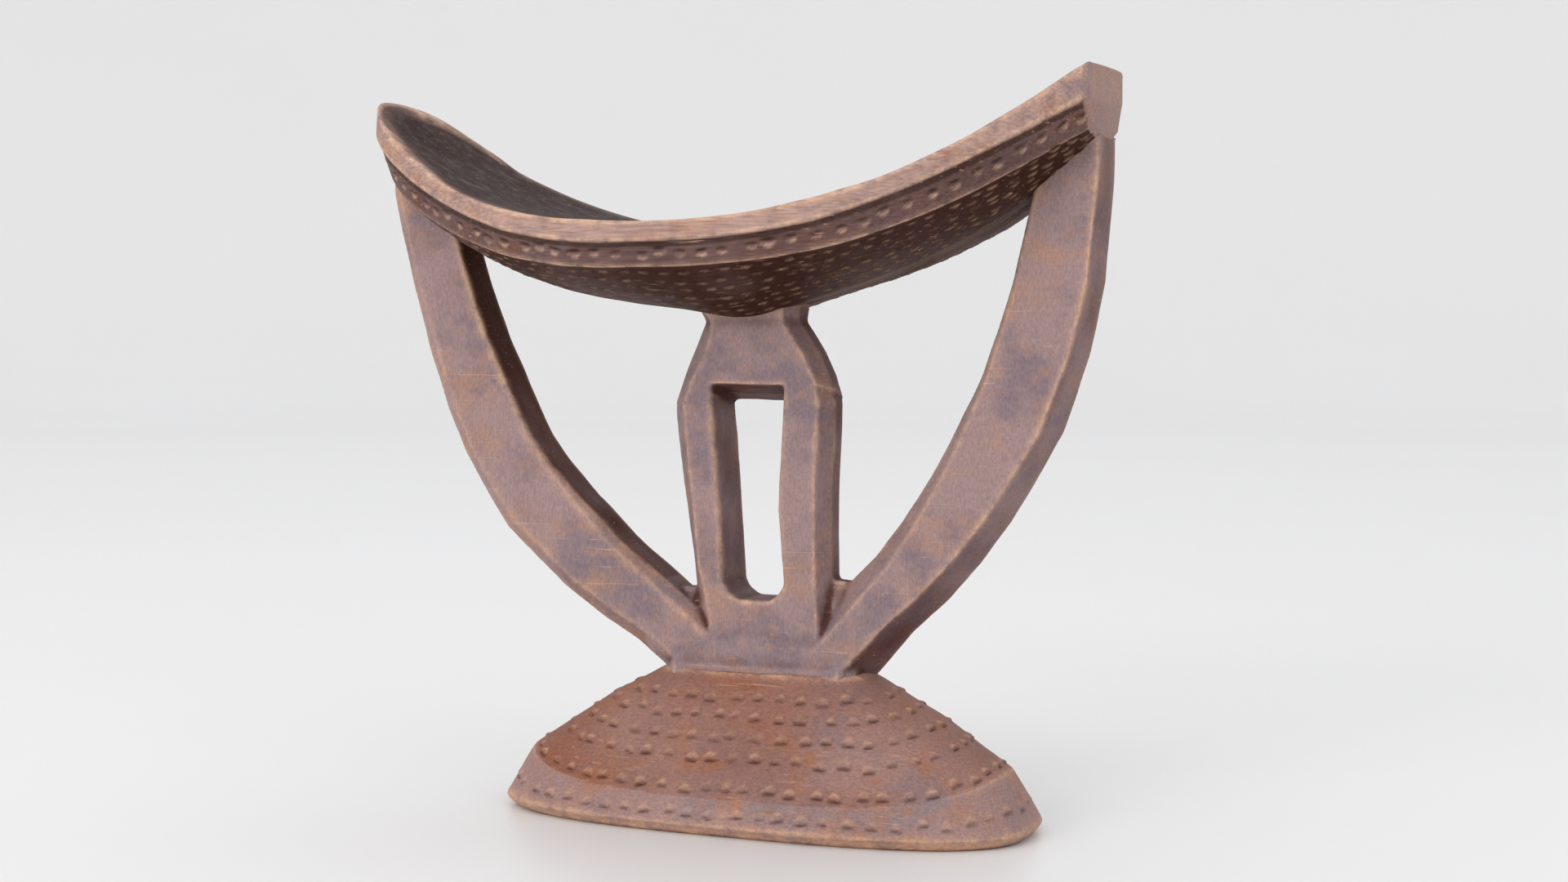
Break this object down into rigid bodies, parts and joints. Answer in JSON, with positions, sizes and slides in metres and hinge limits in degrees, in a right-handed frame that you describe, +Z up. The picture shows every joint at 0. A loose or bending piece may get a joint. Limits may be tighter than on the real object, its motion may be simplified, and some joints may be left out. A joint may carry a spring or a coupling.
{
  "type": "headrest",
  "caption": "Carved wooden neck rest: a curved saddle cradle on two bowed arms and a pierced centre post above an oval domed foot.",
  "frame": {"origin": "on the floor under the middle of the cradle, which is the bottom centre of the bounding box", "axes": "+Z up; +X along the cradle, towards its flat-ended tip; +Y across the cradle, away from the front"},
  "size_m": [0.175, 0.079, 0.1643],
  "materials": {
    "cradle_wood": "hand-carved dark wood, satin from handling, punched below the rim",
    "frame_wood": "hand-carved wood with worn light edges, satin",
    "foot_wood": "hand-carved reddish wood, punched rows, matt in the hollows"
  },
  "bodies": {
    "root": {"cradle": "cradle_wood", "left_arm": "frame_wood", "right_arm": "frame_wood", "post_head": "frame_wood", "post_left_leg": "frame_wood", "post_right_leg": "frame_wood", "waist": "frame_wood", "foot": "foot_wood"}
  },
  "joints": []
}
